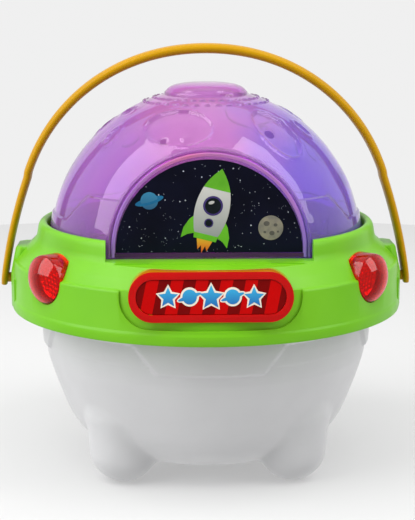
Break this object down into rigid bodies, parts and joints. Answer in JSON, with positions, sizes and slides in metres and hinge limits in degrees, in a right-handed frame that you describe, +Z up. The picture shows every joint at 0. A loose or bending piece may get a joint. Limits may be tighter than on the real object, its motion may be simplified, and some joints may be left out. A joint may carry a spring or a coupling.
{
  "type": "toy carry pail",
  "caption": "Round footed pail shaped like a toy spaceship, with a lift-off lid, tinted dome, picture window, lamps, nameplate and a bail handle.",
  "frame": {"origin": "on the ground under the middle of the bowl, with the handle upright", "axes": "+Z up, -Y towards the window and nameplate, +X to the right as seen from the front"},
  "size_m": [0.2526, 0.2378, 0.2557],
  "materials": {
    "bowl": "satin moulded white",
    "ring": "satin moulded lime green",
    "dome": "clear purple tint, polished",
    "picture": "printed card",
    "lens": "clear red tint, polished",
    "panel": "printed red stripes",
    "reflector": "ribbed bright reflector",
    "screw": "plated",
    "handle": "satin moulded yellow"
  },
  "bodies": {
    "bowl": {"bowl": "bowl"},
    "lid": {"deck_ring": "ring", "dome": "dome", "window_frame": "dome", "window_picture": "picture", "nameplate_bezel": "lens", "nameplate_panel": "panel", "nameplate_screw_left": "screw", "nameplate_screw_right": "screw", "lamp_lens_left": "lens", "lamp_lens_right": "lens", "lamp_reflector_left": "reflector", "lamp_reflector_right": "reflector", "dome_screw_1": "screw", "dome_screw_2": "screw", "dome_screw_3": "screw", "dome_screw_4": "screw", "dome_screw_5": "screw", "dome_screw_6": "screw"},
    "handle": {"handle": "handle"}
  },
  "joints": [
    {"name": "lid_lift", "type": "slide", "parent": "bowl", "child": "lid", "axis": [0, 0, 1], "range_m": [0, 0.15]},
    {"name": "handle_swing", "type": "hinge", "parent": "lid", "child": "handle", "pos_m": [0, 0, 0.113], "axis": [1, 0, 0], "range_deg": [-90, 90]}
  ]
}
